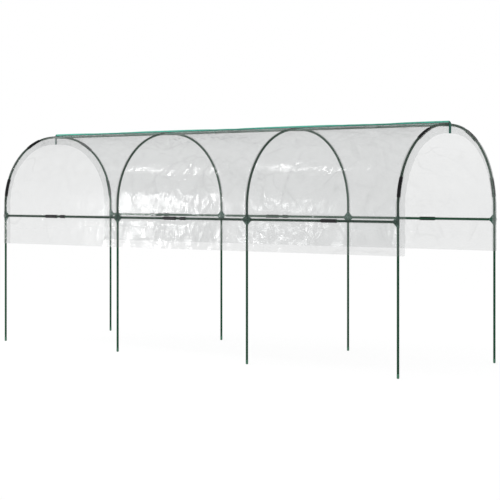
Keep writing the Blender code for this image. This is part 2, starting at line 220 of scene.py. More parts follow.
class StageSettings(PropertyGroup):
    """Camera, floor and lamps."""

    camera_place: FloatVectorProperty(
        name="Camera", description="Where the camera stands", subtype="XYZ", default=(7.703, -8.846, 1.232))
    camera_heading: FloatProperty(
        name="Heading", description="Turn of the level camera about Z",
        default=math.radians(40.42), subtype="ANGLE")
    lens: FloatProperty(name="Lens", description="Focal length in millimetres", default=110.19)
    rise: FloatProperty(name="Rise", description="Upward shift of the picture", default=-0.119)
    floor_size: FloatProperty(name="Floor", description="Width of the floor", default=60.0, unit="LENGTH")
    floor_lit: FloatProperty(
        name="Lit share", description="Share of the floor's white that lamps give",
        default=0.25, subtype="FACTOR")
    ambient: FloatProperty(name="Ambient", description="Strength of the even light", default=0.74)
    sun: FloatProperty(name="Sun", description="Strength of the main lamp", default=0.85)
    sky: FloatProperty(
        name="Ceiling", description="Brightness of the ceiling seen in reflections", default=0.30)
    softbox: FloatProperty(name="Softbox", description="Power of the tall softbox in watts", default=92.0)


# Node trees


class Tree:
    """The node tree of a material or a world."""

    def __init__(self, name, kind="materials", output="ShaderNodeOutputMaterial"):
        self.owner = getattr(bpy.data, kind).new(name)
        self.owner.use_nodes = True
        self.nodes = self.owner.node_tree.nodes
        self.links = self.owner.node_tree.links
        self.nodes.clear()
        self.output = self.nodes.new(output)

    def add(self, kind, inputs=None, **settings):
        node = self.nodes.new(kind)
        for key, value in settings.items():
            setattr(node, key, value)
        for key, value in (inputs or {}).items():
            self.feed(node, key, value)
        return node

    def feed(self, node, key, value):
        """Set a socket to a value, or link it to another socket or to a node's first output."""
        socket = node.inputs[key]
        if isinstance(value, bpy.types.Node):
            value = value.outputs[0]
        if isinstance(value, bpy.types.NodeSocket):
            self.links.new(value, socket)
        elif socket.type == "RGBA":
            socket.default_value = (*value, 1.0)
        else:
            socket.default_value = value

    def finish(self, shader):
        self.feed(self.output, "Surface", shader)
        return self.owner

    def place(self, stretch=(1.0, 1.0, 1.0)):
        """Object coordinates, stretched along each axis."""
        coordinates = self.add("ShaderNodeTexCoord").outputs["Object"]
        return self.add("ShaderNodeMapping", {"Vector": coordinates, "Scale": stretch})

    def noise(self, scale, detail=3.0, stretch=(1.0, 1.0, 1.0)):
        """A noise pattern with so many lumps per metre."""
        inputs = {"Scale": scale, "Detail": detail, "Vector": self.place(stretch)}
        return self.add("ShaderNodeTexNoise", inputs)

    def ranged(self, value, low, high, new_low=0.0, new_high=1.0):
        """A value carried from one range to another and held inside it."""
        inputs = {"Value": value, "From Min": low, "From Max": high, "To Min": new_low, "To Max": new_high}
        return self.add("ShaderNodeMapRange", inputs)

    def spread(self, value, low, high):
        """A pattern's middle range drawn out between two values."""
        return self.ranged(value, 0.3, 0.7, low, high)

    def compute(self, operation, *values, clamp=False):
        return self.add("ShaderNodeMath", dict(enumerate(values)), operation=operation, use_clamp=clamp)

    def shade(self, value, dark, light):
        """A pattern turned into a colour between two others."""
        return self.add("ShaderNodeMix", {"Factor": value, 6: dark, 7: light}, data_type="RGBA").outputs[2]

    def mix(self, value, first, second):
        """The first shader where the value is 0, the second where it is 1."""
        return self.add("ShaderNodeMixShader", {0: value, 1: first, 2: second})

    def bump(self, height, distance, strength=1.0, under=None):
        inputs = {"Height": height, "Distance": distance, "Strength": strength}
        if under:
            inputs["Normal"] = under
        return self.add("ShaderNodeBump", inputs)


def scaled(color, factor):
    return tuple(min(1.0, channel * factor) for channel in color)


def coated_steel(settings):
    """Powder-coated tube: a faint orange peel, slightly cloudy in colour and gloss."""
    tree = Tree("coated_steel")
    cloud = tree.spread(tree.noise(14.0), 0.0, 1.0)
    shader = tree.add("ShaderNodeBsdfPrincipled", {
        "Base Color": tree.shade(cloud, scaled(settings.steel, 0.95), scaled(settings.steel, 1.12)),
        "Roughness": tree.spread(tree.noise(45.0), 0.36, 0.46),
        "Specular IOR Level": 0.10,
        "Normal": tree.bump(tree.noise(900.0, 2.0), 0.00012, 0.5)})
    return tree.finish(shader)


def moulded_plastic(name, color, rough, grain_scale):
    """Moulded plastic: fine spark grain, slight flow marks in its colour, slightly cloudy in gloss."""
    tree = Tree(name)
    flow = tree.spread(tree.noise(60.0, 4.0, (1.0, 1.0, 0.4)), 0.0, 1.0)
    shader = tree.add("ShaderNodeBsdfPrincipled", {
        "Base Color": tree.shade(flow, scaled(color, 0.88), scaled(color, 1.18)),
        "Roughness": tree.spread(tree.noise(120.0), rough - 0.06, rough + 0.07),
        "Specular IOR Level": 0.2,
        "Normal": tree.bump(tree.noise(grain_scale, 2.0), 0.00008, 0.6)})
    return tree.finish(shader)


def clear_film(settings):
    """Clear film: part of the light passes, part scatters, the creased face mirrors the room; painted shade
    darkens it.
    """
    tree = Tree("clear_film")
    crumple = tree.add("ShaderNodeTexVoronoi", {"Scale": 6.0, "Smoothness": 0.7, "Vector": tree.place()},
                       feature="SMOOTH_F1")
    broad = tree.bump(crumple, 0.012, 0.22)
    drawn = tree.add("ShaderNodeVectorMath", {0: tree.place((0.45, 1.0, 1.0)), 1: tree.noise(1.6, 2.0)},
                     operation="ADD")
    edge = tree.add("ShaderNodeTexVoronoi", {"Scale": 3.4, "Vector": drawn}, feature="DISTANCE_TO_EDGE")
    patch = tree.spread(tree.noise(2.4, 1.0), -0.6, 1.3)
    faint = tree.compute("MULTIPLY", tree.ranged(edge, 0.0, 0.035, 1.0, 0.0), patch, clamp=True)
    creased = tree.bump(faint, 0.0016, 0.5, broad)
    fine = tree.bump(tree.noise(16.0, 3.0, (0.25, 1.0, 1.0)), 0.0030, 0.30, creased)

    # Painted shade: the clear colour is darkened along the crease lines and by the shade painted on the
    # mesh, and the gloss is dimmed where that shade is strong.
    painted_shade = tree.add("ShaderNodeAttribute", attribute_name="shade").outputs["Fac"]
    lost = tree.compute("MULTIPLY_ADD", faint, 0.5 * settings.crease_shade, painted_shade, clamp=True)
    clear = tree.add("ShaderNodeBsdfTransparent", {"Color": tree.shade(lost, settings.clear, (0, 0, 0))})
    forward = tree.add("ShaderNodeBsdfTranslucent", {"Color": settings.milk, "Normal": fine})
    back = tree.add("ShaderNodeBsdfDiffuse", {"Color": settings.milk, "Normal": fine})
    mist = tree.spread(tree.noise(7.0, 2.0), settings.haze * 0.9, settings.haze * 1.1)
    misty = tree.mix(mist, clear, tree.mix(0.3, forward, back))

    gloss = tree.add("ShaderNodeBsdfGlossy", {
        "Color": (1.0, 1.0, 1.0), "Roughness": tree.spread(tree.noise(12.0), 0.10, 0.20), "Normal": fine})
    facing = tree.add("ShaderNodeLayerWeight", {"Blend": 0.5, "Normal": fine}).outputs["Facing"]
    mirror = tree.ranged(tree.compute("POWER", facing, 5.0), 0.0, 1.0, 0.022, 0.5)
    dull = tree.compute("MULTIPLY_ADD", painted_shade, -3.0, 1.0, clamp=True)
    patchy = tree.spread(tree.noise(15.0, 2.0, (0.7, 1.0, 1.0)), 0.45, 1.60)
    shine = tree.compute("MULTIPLY", mirror, tree.compute("MULTIPLY", dull, patchy))
    return tree.finish(tree.mix(shine, misty, gloss))


def woven_tape(settings):
    """Woven edge tape: weft and warp in the bump, cloudy in colour, with painted shade on its ends over the
    lips.
    """
    tree = Tree("binding_tape")
    threads = []
    for scale, bent, direction in ((420.0, 0.6, "X"), (300.0, 0.4, "Z")):
        inputs = {"Scale": scale, "Distortion": bent, "Vector": tree.place()}
        threads.append(tree.add("ShaderNodeTexWave", inputs, bands_direction=direction).outputs["Fac"])
    wear = tree.spread(tree.noise(30.0, 4.0), 0.0, 1.0)
    along = tree.add("ShaderNodeSeparateXYZ", {0: tree.place()}).outputs["X"]
    # Painted shade: a darker colour on the tape's ends over the lips.
    ends = tree.ranged(tree.compute("ABSOLUTE", along), FILM_END - 0.004, FILM_END - 0.001)
    color = tree.shade(wear, scaled(settings.tape, 0.85), scaled(settings.tape, 1.15))
    shader = tree.add("ShaderNodeBsdfPrincipled", {
        "Base Color": tree.shade(ends, color, settings.tape_end_shade),
        "Roughness": tree.spread(wear, 0.50, 0.68),
        "Sheen Weight": 0.25,
        "Normal": tree.bump(tree.compute("MULTIPLY", *threads), 0.0003, 0.7)})
    return tree.finish(shader)


# Shapes


def put_in_scene(name, data):
    """A new object in the scene, with a mesh, curve, lamp or camera as its data."""
    shape = bpy.data.objects.new(name, data)
    bpy.context.scene.collection.objects.link(shape)
    return shape


def add_piece(name, mesh, material, body, nodes):
    """Put a mesh in the scene as a piece of the greenhouse that stands for some nodes of the frame."""
    piece = put_in_scene(name, mesh)
    mesh.materials.append(material)
    if body:
        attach(piece, body)
    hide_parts(*nodes)
    return piece


def smooth_mesh(bm, name, sharp=40.0):
    bmesh.ops.recalc_face_normals(bm, faces=bm.faces)
    mesh = bpy.data.meshes.new(name)
    bm.to_mesh(mesh)
    bm.free()
    mesh.shade_smooth()
    mesh.set_sharp_from_angle(angle=math.radians(sharp))
    return mesh


def evaluated_copy(shape, name):
    """An object's mesh as its modifiers leave it; the object is removed."""
    bpy.context.view_layer.update()
    graph = bpy.context.evaluated_depsgraph_get()
    mesh = bpy.data.meshes.new_from_object(shape.evaluated_get(graph), depsgraph=graph)
    mesh.transform(shape.matrix_world)
    bpy.data.objects.remove(shape, do_unlink=True)
    bm = bmesh.new()
    bm.from_mesh(mesh)
    bmesh.ops.remove_doubles(bm, verts=bm.verts, dist=0.00001)
    bpy.data.meshes.remove(mesh)
    return smooth_mesh(bm, name)


def round_tube(name, points, radius, sides):
    """A closed round tube through points, with flat ends."""
    curve = bpy.data.curves.new(name, "CURVE")
    curve.dimensions = "3D"
    curve.bevel_depth = radius
    curve.bevel_resolution = sides // 2 - 2
    curve.use_fill_caps = True
    spline = curve.splines.new("POLY")
    spline.points.add(len(points) - 1)
    for spot, point in zip(spline.points, points):
        spot.co = (*point, 1.0)
    return evaluated_copy(put_in_scene(name, curve), name)


def turned(name, profile, sides):
    """A profile of (radius, height) pairs turned about Z."""
    bm = bmesh.new()
    verts = [bm.verts.new((radius, 0.0, height)) for radius, height in profile]
    edges = [bm.edges.new(pair) for pair in zip(verts, verts[1:])]
    bmesh.ops.spin(bm, geom=verts + edges, cent=(0.0, 0.0, 0.0), axis=(0.0, 0.0, 1.0),
                   angle=math.tau, steps=sides, use_duplicate=False)
    bmesh.ops.remove_doubles(bm, verts=bm.verts, dist=0.00002)
    return smooth_mesh(bm, name)


def arc(centre, radius, start, end, steps):
    """Points on an arc in a plane, with angles in degrees."""
    angles = [math.radians(start + (end - start) * step / steps) for step in range(steps + 1)]
    return [(centre[0] + radius * math.cos(a), centre[1] + radius * math.sin(a)) for a in angles]


# Tubes


def arch_line(side, steps):
    """Centreline of an arch tube in Y and Z, from its side fitting up to the ridge fitting."""
    line = [(side * HALF_SPREAD, RAIL_Z + TUBE_STOP)]
    for y, z in arc((FITTING_ARM, SPRING_Z), ARCH_RADIUS, 0.0, 90.0, steps):
        line.append((side * y, z))
    line.append((side * TUBE_STOP, RIDGE_Z))
    return line


def make_tubes(settings):
    steel = coated_steel(settings)

    def tube(name, points, node):
        mesh = round_tube(name, points, TUBE_RADIUS, settings.sides)
        add_piece(name, mesh, steel, "frame", [node])

    for side_name, side in SIDES.items():
        y = side * HALF_SPREAD
        for number, x in zip(HOOPS, HOOP_X):
            mark = f"{side_name}_{number}"
            tube(f"leg_tube_{mark}", [(x, y, CAP_HEIGHT * 0.35), (x, y, RAIL_Z - TUBE_STOP)], f"leg_{mark}")
            line = [(x, *point) for point in arch_line(side, settings.arch_steps)]
            tube(f"arch_tube_{mark}", line, f"arch_{mark}")
    places = {"rail_front": (-HALF_SPREAD, RAIL_Z), "rail_back": (HALF_SPREAD, RAIL_Z),
              "ridge_rail": (0.0, RIDGE_Z)}
    for kind, (y, z) in places.items():
        for number, (start, end) in enumerate(zip(HOOP_X, HOOP_X[1:]), start=1):
            ends = [(start + TUBE_STOP, y, z), (end - TUBE_STOP, y, z)]
            tube(f"{kind}_tube_{number}", ends, f"{kind}_{number}")


def make_foot_caps(settings):
    """Plastic cups with a rolled rim and a blunt tip, pressed over the legs' lower ends."""
    plastic = moulded_plastic("cap_plastic", settings.cap, 0.42, 1400.0)
    sole = 0.004
    tip = 0.009
    wall = CAP_RADIUS - 0.0003
    bore = TUBE_RADIUS + 0.0001
    rim = (CAP_RADIUS + bore) / 2
    profile = [(0.0, 0.0), (sole, 0.0)]
    for angle in range(10, 91, 10):
        turn = math.radians(angle)
        profile.append((sole + (wall - sole) * math.sin(turn), tip * (1.0 - math.cos(turn))))
    profile.append((wall, CAP_HEIGHT - 0.006))
    profile += arc((rim, CAP_HEIGHT - 0.003), CAP_RADIUS - rim, -60.0, 180.0, 12)
    profile += [(bore, CAP_HEIGHT * 0.4), (0.0, CAP_HEIGHT * 0.36)]
    cap = turned("foot_cap", profile, 48)
    for side_name, side in SIDES.items():
        for number, x in zip(HOOPS, HOOP_X):
            name = f"foot_cap_{side_name}_{number}"
            mesh = cap.copy()
            mesh.transform(Matrix.Translation((x, side * HALF_SPREAD, 0.0)))
            add_piece(name, mesh, plastic, "frame", [f"leg_{side_name}_{number}"])


# Moulded fittings


def cylinder_along(name, direction, radius, start, end, sides):
    bm = bmesh.new()
    bmesh.ops.create_cone(bm, cap_ends=True, segments=sides, radius1=radius, radius2=radius,
                          depth=end - start)
    turn = Vector((0.0, 0.0, 1.0)).rotation_difference(Vector(direction)).to_matrix().to_4x4()
    middle_point = Matrix.Translation(Vector(direction) * (start + end) / 2)
    bmesh.ops.transform(bm, matrix=middle_point @ turn, verts=bm.verts)
    return put_in_scene(name, smooth_mesh(bm, name))


def web_between(four_way):
    """The flat web between the arms, a diamond or half of one."""
    reach = FITTING_ARM - 0.0006
    tip = SLEEVE_RADIUS - 0.0012
    outline = [(reach, tip), (tip, reach), (-tip, reach)]
    if four_way:
        outline += [(-reach, tip), (-reach, -tip)]
    outline += [(-tip, -reach), (tip, -reach), (reach, -tip)]
    bm = bmesh.new()
    face = bm.faces.new([bm.verts.new((across, -WEB_THICKNESS / 2, up)) for across, up in outline])
    grown = bmesh.ops.extrude_face_region(bm, geom=[face])
    moved = [item for item in grown["geom"] if isinstance(item, bmesh.types.BMVert)]
    bmesh.ops.translate(bm, verts=moved, vec=(0.0, WEB_THICKNESS, 0.0))
    return put_in_scene("web", smooth_mesh(bm, "web"))


def add_boolean(body, other, operation):
    modifier = body.modifiers.new(other.name, "BOOLEAN")
    modifier.operation = operation
    modifier.object = other


def fitting_mesh(name, four_way, settings):
    """Sleeves along Z and X with a web between them, sockets cut in, edges rounded."""
    sides = settings.sides
    start = -FITTING_ARM if four_way else 0.0
    body = cylinder_along(name, (0.0, 0.0, 1.0), SLEEVE_RADIUS, -FITTING_ARM, FITTING_ARM, sides)
    helpers = [cylinder_along("cross_arm", (1.0, 0.0, 0.0), SLEEVE_RADIUS, start, FITTING_ARM, sides),
               web_between(four_way)]
    for part in helpers:
        add_boolean(body, part, "UNION")
    directions = [(0.0, 0.0, 1.0), (0.0, 0.0, -1.0), (1.0, 0.0, 0.0)]
    if four_way:
        directions.append((-1.0, 0.0, 0.0))
    for direction in directions:
        socket = cylinder_along("socket", direction, TUBE_RADIUS + PLAY, TUBE_STOP - PLAY,
                                2 * FITTING_ARM, sides)
        add_boolean(body, socket, "DIFFERENCE")
        helpers.append(socket)
    bevel = body.modifiers.new("edge", "BEVEL")
    bevel.width = settings.edge
    bevel.segments = 2
    bevel.limit_method = "ANGLE"
    bevel.angle_limit = math.radians(42.0)
    mesh = evaluated_copy(body, name)
    for part in helpers:
        bpy.data.objects.remove(part, do_unlink=True)
    return mesh


def make_fittings(settings):
    plastic = moulded_plastic("fitting_plastic", settings.fitting, 0.42, 1200.0)
    cross = fitting_mesh("cross_fitting", True, settings)
    tee = fitting_mesh("tee_fitting", False, settings)
    for number, x in zip(HOOPS, HOOP_X):
        form = tee if number in (HOOPS[0], HOOPS[-1]) else cross
        spin = Matrix.Rotation(math.pi if number == HOOPS[-1] else 0.0, 4, "Z")
        places = {f"side_fitting_{side_name}_{number}":
                  Matrix.Translation((x, side * HALF_SPREAD, RAIL_Z)) @ spin
                  for side_name, side in SIDES.items()}
        flat = Matrix.Translation((x, 0.0, RIDGE_Z)) @ spin @ Matrix.Rotation(math.pi / 2, 4, "X")
        places[f"ridge_fitting_{number}"] = flat
        for node, place in places.items():
            mesh = form.copy()
            mesh.transform(place)
            add_piece(f"moulded_{node}", mesh, plastic, "frame", [node])


# Snap clips


def clip_section(settings):
    """C-shaped section as (across, outward) pairs, with rolled lips at its mouth."""
    half = math.degrees(settings.clip_wrap) / 2
    inner = TUBE_RADIUS + CLIP_GAP
    outer = CLIP_RADIUS + CLIP_SWELL
    lip = settings.clip_lip
    points = arc((0.0, 0.0), outer, 90.0 - half, 90.0 + half, 30)
    mouth = (inner + outer) / 2
    left = math.radians(90.0 + half)
    centre = (mouth * math.cos(left) - 0.3 * lip, mouth * math.sin(left) - 0.4 * lip)
    points += arc(centre, lip, 150.0, 330.0, 8)
    points += arc((0.0, 0.0), inner, 90.0 + half, 90.0 - half, 24)
    points += [(-x, z) for x, z in arc(centre, lip, 330.0, 150.0, 8)]
    return points


def sweep(name, section, frames):
    """A closed section of (across, outward) pairs carried along frames of (centre, across, outward)."""
    bm = bmesh.new()
    rings = [[bm.verts.new(centre + across * a + outward * o) for a, o in section]
             for centre, across, outward in frames]
    count = len(section)
    for ring, following in zip(rings, rings[1:]):
        for k in range(count):
            bm.faces.new((ring[k], ring[(k + 1) % count], following[(k + 1) % count], following[k]))
    bm.faces.new(rings[0][::-1])
    bm.faces.new(rings[-1])
    return smooth_mesh(bm, name, 50.0)


def clip_frames(node):
    """Frames along a clip of the frame model: straight on a rail, bent on a hoop."""
    steps = 16
    low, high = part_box(node)
    side = -1.0 if "_front_" in node else 1.0
    if "rail" in node:
        along = np.linspace(low.x, high.x, steps)
        return [(Vector((x, side * HALF_SPREAD, RAIL_Z)), Vector((0.0, 0.0, 1.0)),
                 Vector((0.0, side, 0.0))) for x in along]
    start, end = hoop_clip_angles(node)
    frames = []
    for angle in np.linspace(start, end, steps):
        outward = Vector((0.0, side * math.cos(angle), math.sin(angle)))
        centre = Vector(((low.x + high.x) / 2, side * FITTING_ARM, SPRING_Z)) + outward * ARCH_RADIUS
        frames.append((centre, Vector((1.0, 0.0, 0.0)), outward))
    return frames


def hoop_clip_angles(node):
    """Angles round the arch where a hoop clip starts and ends, from the points of its node."""
    points = [vertex.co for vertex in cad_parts[node].data.vertices]
    angles = [math.atan2(point.z - SPRING_Z, abs(point.y) - FITTING_ARM) for point in points]
    return min(angles), max(angles)


def make_clips(settings):
    plastic = moulded_plastic("clip_plastic", settings.clip, 0.36, 1500.0)
    section = clip_section(settings)
    for node in sorted(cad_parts):
        if "_clip_" in node:
            mesh = sweep(f"snap_{node}", section, clip_frames(node))
            add_piece(f"snap_{node}", mesh, plastic, "frame", [node])


# Film cover


def stations(start, end, places, settings):
    """Stations from start to end, closer together near the given places."""
    marks = [start]
    while marks[-1] < end - settings.close_step:
        near = any(abs(marks[-1] - place) < FINE_BAND for place in places)
        marks.append(min(end, marks[-1] + (settings.close_step if near else settings.step)))
    marks[-1] = end
    return np.array(marks)


class Section:
    """The film's line from hem to seam on one side, as a run up the wall, round the arch and over."""

    def __init__(self, side, offset):
        self.side = side
        self.wall = SPRING_Z - HEM_Z
        self.reach = ARCH_RADIUS + offset
        self.offset = offset
        self.top = self.wall + self.reach * math.pi / 2
        self.seam = self.top + FITTING_ARM - side * SEAM_Y
        self.rail = RAIL_Z - HEM_Z

    def point(self, run):
        """Arrays for each run: y, z, y and z of the outward direction, and the angle round the arch."""
        angle = np.clip((run - self.wall) / self.reach, 0.0, math.pi / 2)
        over = np.clip(run - self.top, 0.0, None)
        out_y, out_z = self.side * np.cos(angle), np.sin(angle)
        y = self.side * (FITTING_ARM - over) + out_y * self.reach
        z = HEM_Z + np.clip(run, None, self.wall) + out_z * self.reach
        return y, z, out_y, out_z, angle


def field(points, scale, seed, detail=1):
    """Smooth noise at the points in an array's rows, about -1 to 1."""
    out = np.empty(len(points))
    shift = Vector((seed * 7.31, seed * 3.17, seed * 5.53))
    for index, point in enumerate(points):
        spot = Vector(point) * scale + shift
        out[index] = noise.fractal(spot, 1.0, 2.0, detail) if detail > 1 else noise.noise(spot)
    return out


def smoothstep(value):
    value = np.clip(value, 0.0, 1.0)
    return value * value * (3.0 - 2.0 * value)


def spans_along(x):
    """Place along X counted in spans from the first hoop, held at the first and the last."""
    return np.clip((x - HOOP_X[0]) / (HOOP_X[-1] - HOOP_X[0]), 0.0, 1.0) * (len(HOOP_X) - 1)


def from_hoop(x):
    """Distance along X to the nearest hoop."""
    return np.min([np.abs(x - place) for place in HOOP_X], axis=0)


def from_rail(section, run):
    """Distance along the film to the side rail or the ridge rail."""
    return np.minimum(np.abs(run - section.rail), np.abs(run - section.top - FITTING_ARM))


def fold(x, run, start, end, width, height):
    """A crease from start to end, each (x, run): a ridge of the given half width and height."""
    direction = np.array(end) - np.array(start)
    length = np.hypot(*direction)
    direction = direction / length
    along = (x - start[0]) * direction[0] + (run - start[1]) * direction[1]
    across = (x - start[0]) * direction[1] - (run - start[1]) * direction[0]
    fade = smoothstep(along / (0.2 * length)) * smoothstep((length - along) / (0.35 * length))
    ridge = np.exp(-np.abs(across) / width) - 0.55 * np.exp(-np.abs(across - 1.6 * width) / (1.5 * width))
    return height * fade * ridge


def film_height(section, x, run, angle, settings, seed):
    """How far the film stands off its own plane at each point, outward positive."""
    spans = spans_along(x)
    between = np.sin(math.pi * spans) ** 2
    height = -settings.sag * np.sin(2 * angle) * between

    # Billows and creases, flatter in the first span and at the hoops
    spots = np.stack([x, run, np.zeros_like(x)], axis=1)
    slack = 0.3 + 0.7 * smoothstep((spans - 0.7) / 0.6)
    loose = (0.10 + 0.90 * between) * slack
    height += settings.billow * field(spots, 5.0, seed) * loose
    height += 0.5 * settings.billow * field(spots * (1.0, 2.2, 1.0), 9.0, seed + 1) * loose
    ridged = 1.0 - 2.2 * np.abs(field(spots, 14.0, seed + 2, 3))
    height += settings.crease * ridged * loose

    # Ripples beside the seam
    crown = smoothstep((run - section.top + 0.22) / 0.16)
    ripple = np.sin(run * math.tau / 0.028 + 3.0 * field(spots, 3.5, seed + 3) + 1.5 * x)
    height += 0.0012 * crown * ripple * between

    # Folds of the free hem
    hang = smoothstep((section.rail - run) / section.rail)
    swing = field(spots * (1.0, 0.25, 1.0), 6.5, seed + 4)
    swing += 0.5 * field(spots * (1.0, 0.4, 1.0), 15.0, seed + 5)
    height += settings.hem_wave * hang * swing * (0.4 + 0.6 * slack)
    return height


def add_folds(section, x, run, seed):
    """Creases in each span: some anywhere on wall and roof, some from the rail down to the hem."""
    out = np.zeros_like(x)
    draw = np.random.default_rng(seed)
    span = HOOP_X[1] - HOOP_X[0]
    for left in HOOP_X[:-1]:
        for _ in range(16):
            start = (left + draw.uniform(0.03, 0.97) * span, draw.uniform(section.rail + 0.02, section.top))
            lean = draw.uniform(-1.1, 1.1)
            length = draw.uniform(0.10, 0.42)
            end = (start[0] + length * math.sin(lean), start[1] + length * math.cos(lean))
            out += fold(x, run, start, end, draw.uniform(0.004, 0.011), draw.uniform(-0.0030, 0.0040))
        for _ in range(8):
            start = (left + draw.uniform(0.05, 0.95) * span, section.rail - 0.01)
            end = (start[0] + draw.uniform(-0.12, 0.12), draw.uniform(-0.02, 0.08))
            out += fold(x, run, start, end, draw.uniform(0.006, 0.014), draw.uniform(0.001, 0.003))
    return out


def tent_level(section, x, run, settings):
    """Height of the film out from the tubes' axes: up over each tube and fitting, down between them."""
    over_tube = TUBE_RADIUS + FILM_LIFT
    over_sleeve = SLEEVE_RADIUS + 0.0003
    hoop, rail = from_hoop(x), from_rail(section, run)
    level = np.full_like(x, settings.drop)
    for across, along in ((hoop, rail), (rail, hoop)):
        peak = over_tube + (over_sleeve - over_tube) * smoothstep((FITTING_ARM + 0.008 - along) / 0.006)
        raised = (peak - settings.drop) * np.exp(-(across / settings.tent) ** 2)
        level = np.maximum(level, settings.drop + raised)
    return level


def clip_distances(section, x, run):
    """For each clip on this side: distance from its tube's axis, and distance beyond its ends."""
    side_name = "front" if section.side < 0 else "back"
    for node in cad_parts:
        if "_clip_" not in node or f"_{side_name}_" not in node:
            continue
        low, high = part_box(node)
        if "rail" in node:
            across, along = run - section.rail, x
            start, end = low.x, high.x
        else:
            across, along = x - (low.x + high.x) / 2, run
            start, end = (section.wall + angle * section.reach for angle in hoop_clip_angles(node))
        yield np.abs(across), np.maximum(np.maximum(start - along, along - end), 0.0)


def press_down(section, x, run, height, settings):
    """Wrap the film round the tube under each clip and let it come up again beside the clip."""
    hug = TUBE_RADIUS + FILM_LIFT
    pinch = -0.0065
    reach = 0.05
    for distance, beyond in clip_distances(section, x, run):
        grip = smoothstep(1.0 - beyond / reach)
        over = np.sqrt(np.clip(hug ** 2 - distance ** 2, 0.0, None))
        beside = pinch + (settings.drop - pinch) * smoothstep((distance - PRESSED) / 0.030)
        pressed = np.where(distance < hug, over, beside) - section.offset
        held = np.where(distance < reach, grip, 0.0)
        height = height * (1.0 - held) + held * pressed
    return height


def keep_clear(section, x, run, height):
    """Lift the film off the tubes and fittings that it lies on."""
    hug = TUBE_RADIUS + 0.0006
    collar = SLEEVE_RADIUS + 0.0002
    hoop, rail = from_hoop(x), from_rail(section, run)
    floor = np.full_like(x, -1.0)
    for across, along in ((hoop, rail), (rail, hoop)):
        radius = np.where(along < FITTING_ARM + 0.002, collar, hug)
        lift = np.sqrt(np.clip(radius ** 2 - across ** 2, 0.0, None))
        floor = np.maximum(floor, np.where(across < radius, lift, -1.0))
    return np.maximum(height, floor - section.offset)


def seam_lean(x, settings):
    """How far the upturned seam leans to the front: little over a hoop, most half-way between two."""
    between = math.sin(math.pi * spans_along(x)) ** 2
    wave = 0.35 * noise.noise(Vector((x * 3.1, 2.0, 0.0))) + 0.2 * noise.noise(Vector((x * 9.0, 5.0, 0.0)))
    return settings.tape_lean * between * (1.0 + wave) + 0.25 * wave


def film_columns(settings):
    """From one lip's edge over the roof to the other's: arrays of x, depth inward and angle of facing."""
    end = FILM_END - FILM_INSET
    corner = settings.corner
    left = [(-end, depth, -math.pi / 2) for depth in np.arange(LIP_WIDTH, corner, -0.005)]
    left += [(corner - end - corner * math.sin(a), corner - corner * math.cos(a), -a)
             for a in np.radians(np.linspace(90.0, 0.0, 7))[:-1]]
    roof = [(x, 0.0, 0.0) for x in stations(corner - end, end - corner, HOOP_X, settings)]
    right = [(-x, depth, -facing) for x, depth, facing in left[::-1]]
    return np.array(left + roof + right).T


def painted_film_shade(section, x, run, depth, folds, settings, seed):
    """Painted shade in the film, as a share of light: at creases, on the tubes it lies on, at the seam and
    under clips.
    """
    # Painted shade along the hoops and rails under the film, at the seam and under the clips.
    on_hoop = smoothstep((0.018 - from_hoop(x)) / 0.004) * smoothstep((run - section.rail + 0.03) / 0.02)
    on_rail = smoothstep((0.013 - np.abs(run - section.rail)) / 0.003) * (np.abs(x) < HOOP_X[-1])
    seam_shade_mask = smoothstep((run - section.seam + 0.030) / 0.024) * smoothstep(1.0 - depth / 0.012)
    clip_shade_mask = np.zeros_like(x)
    for distance, beyond in clip_distances(section, x, run):
        clip_shade_mask = np.maximum(clip_shade_mask, smoothstep((PRESSED - distance) / 0.002) * (beyond < 0.002))
    spots = np.stack([x * 0.5, run, depth], axis=1)
    wrinkle = np.exp(-np.abs(field(spots, 24.0, seed + 12, 2)) / 0.05)
    wrinkle *= smoothstep(field(spots, 6.0, seed + 13) * 2)
    # Painted shade in the creases, stronger near the ridge.
    crown = smoothstep((run - section.top + 0.40) / 0.30)
    creased = np.clip(np.abs(folds) / 0.0035 + wrinkle * (0.3 + 0.9 * crown), 0.0, 1.0)
    lost = settings.crease_shade * creased * (1.0 + 1.5 * crown)
    parts = ((on_hoop, settings.cling_shade), (on_rail, settings.cling_shade),
             (seam_shade_mask, settings.seam_shade), (clip_shade_mask, settings.clip_shade))
    for part, level in parts:
        lost = np.maximum(lost, level * part)
    return lost


